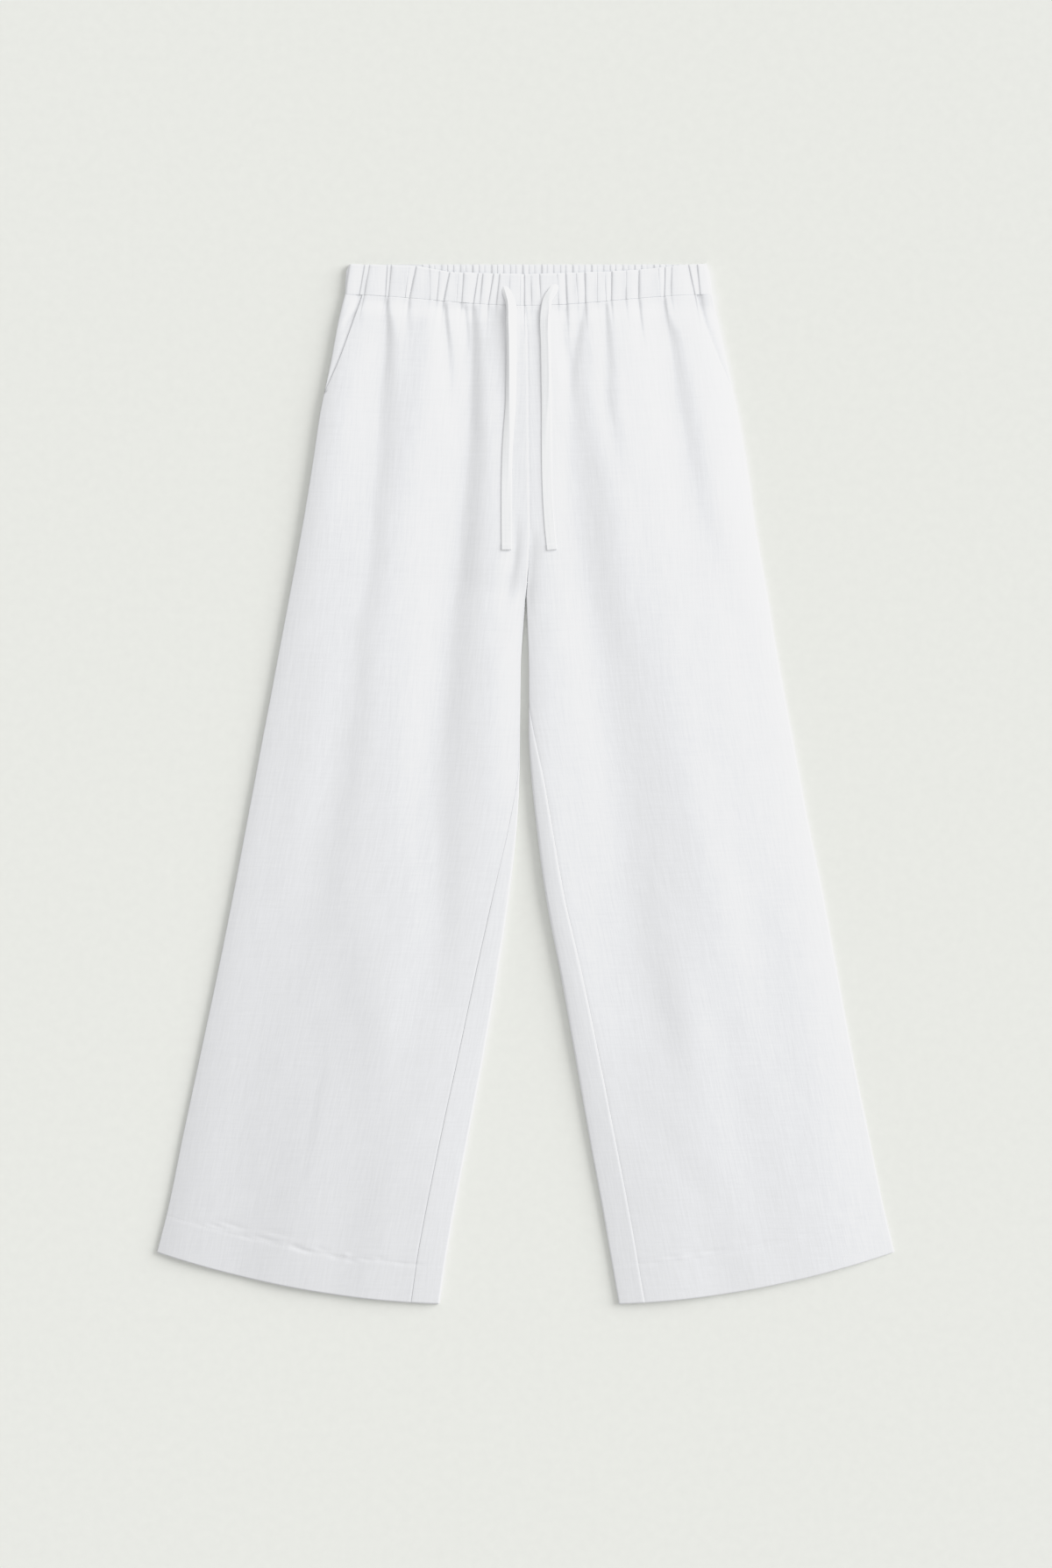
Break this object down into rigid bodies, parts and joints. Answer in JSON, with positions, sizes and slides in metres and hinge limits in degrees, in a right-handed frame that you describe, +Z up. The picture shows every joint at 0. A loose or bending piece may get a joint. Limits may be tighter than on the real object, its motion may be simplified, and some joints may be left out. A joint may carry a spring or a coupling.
{
  "type": "linen drawstring trousers",
  "caption": "Wide-leg linen trousers laid flat with the front up: gathered elastic waist, two free drawstring ends, slanted side pockets and turned-up hems.",
  "frame": {"origin": "middle of the bounding box's underside, on the surface that the trousers lie on", "axes": "+X to the wearer's left, +Y from the hems to the waist, +Z up from the surface, so the front faces +Z"},
  "size_m": [0.7442, 1.0492, 0.0094],
  "materials": {
    "linen": "white linen, plain weave, matt, soft slubs",
    "linen_band": "white linen, plain weave, gathered over elastic",
    "linen_pocket": "white linen, plain weave, matt",
    "linen_tape": "white linen, folded and stitched into a narrow flat tape"
  },
  "bodies": {
    "root": {"leg_front_right": "linen", "leg_front_left": "linen", "leg_back_right": "linen", "leg_back_left": "linen", "waistband_front": "linen_band", "waistband_back": "linen_band", "pocket_side_right": "linen_pocket", "pocket_side_left": "linen_pocket", "drawstring_right": "linen_tape", "drawstring_left": "linen_tape"}
  },
  "joints": []
}
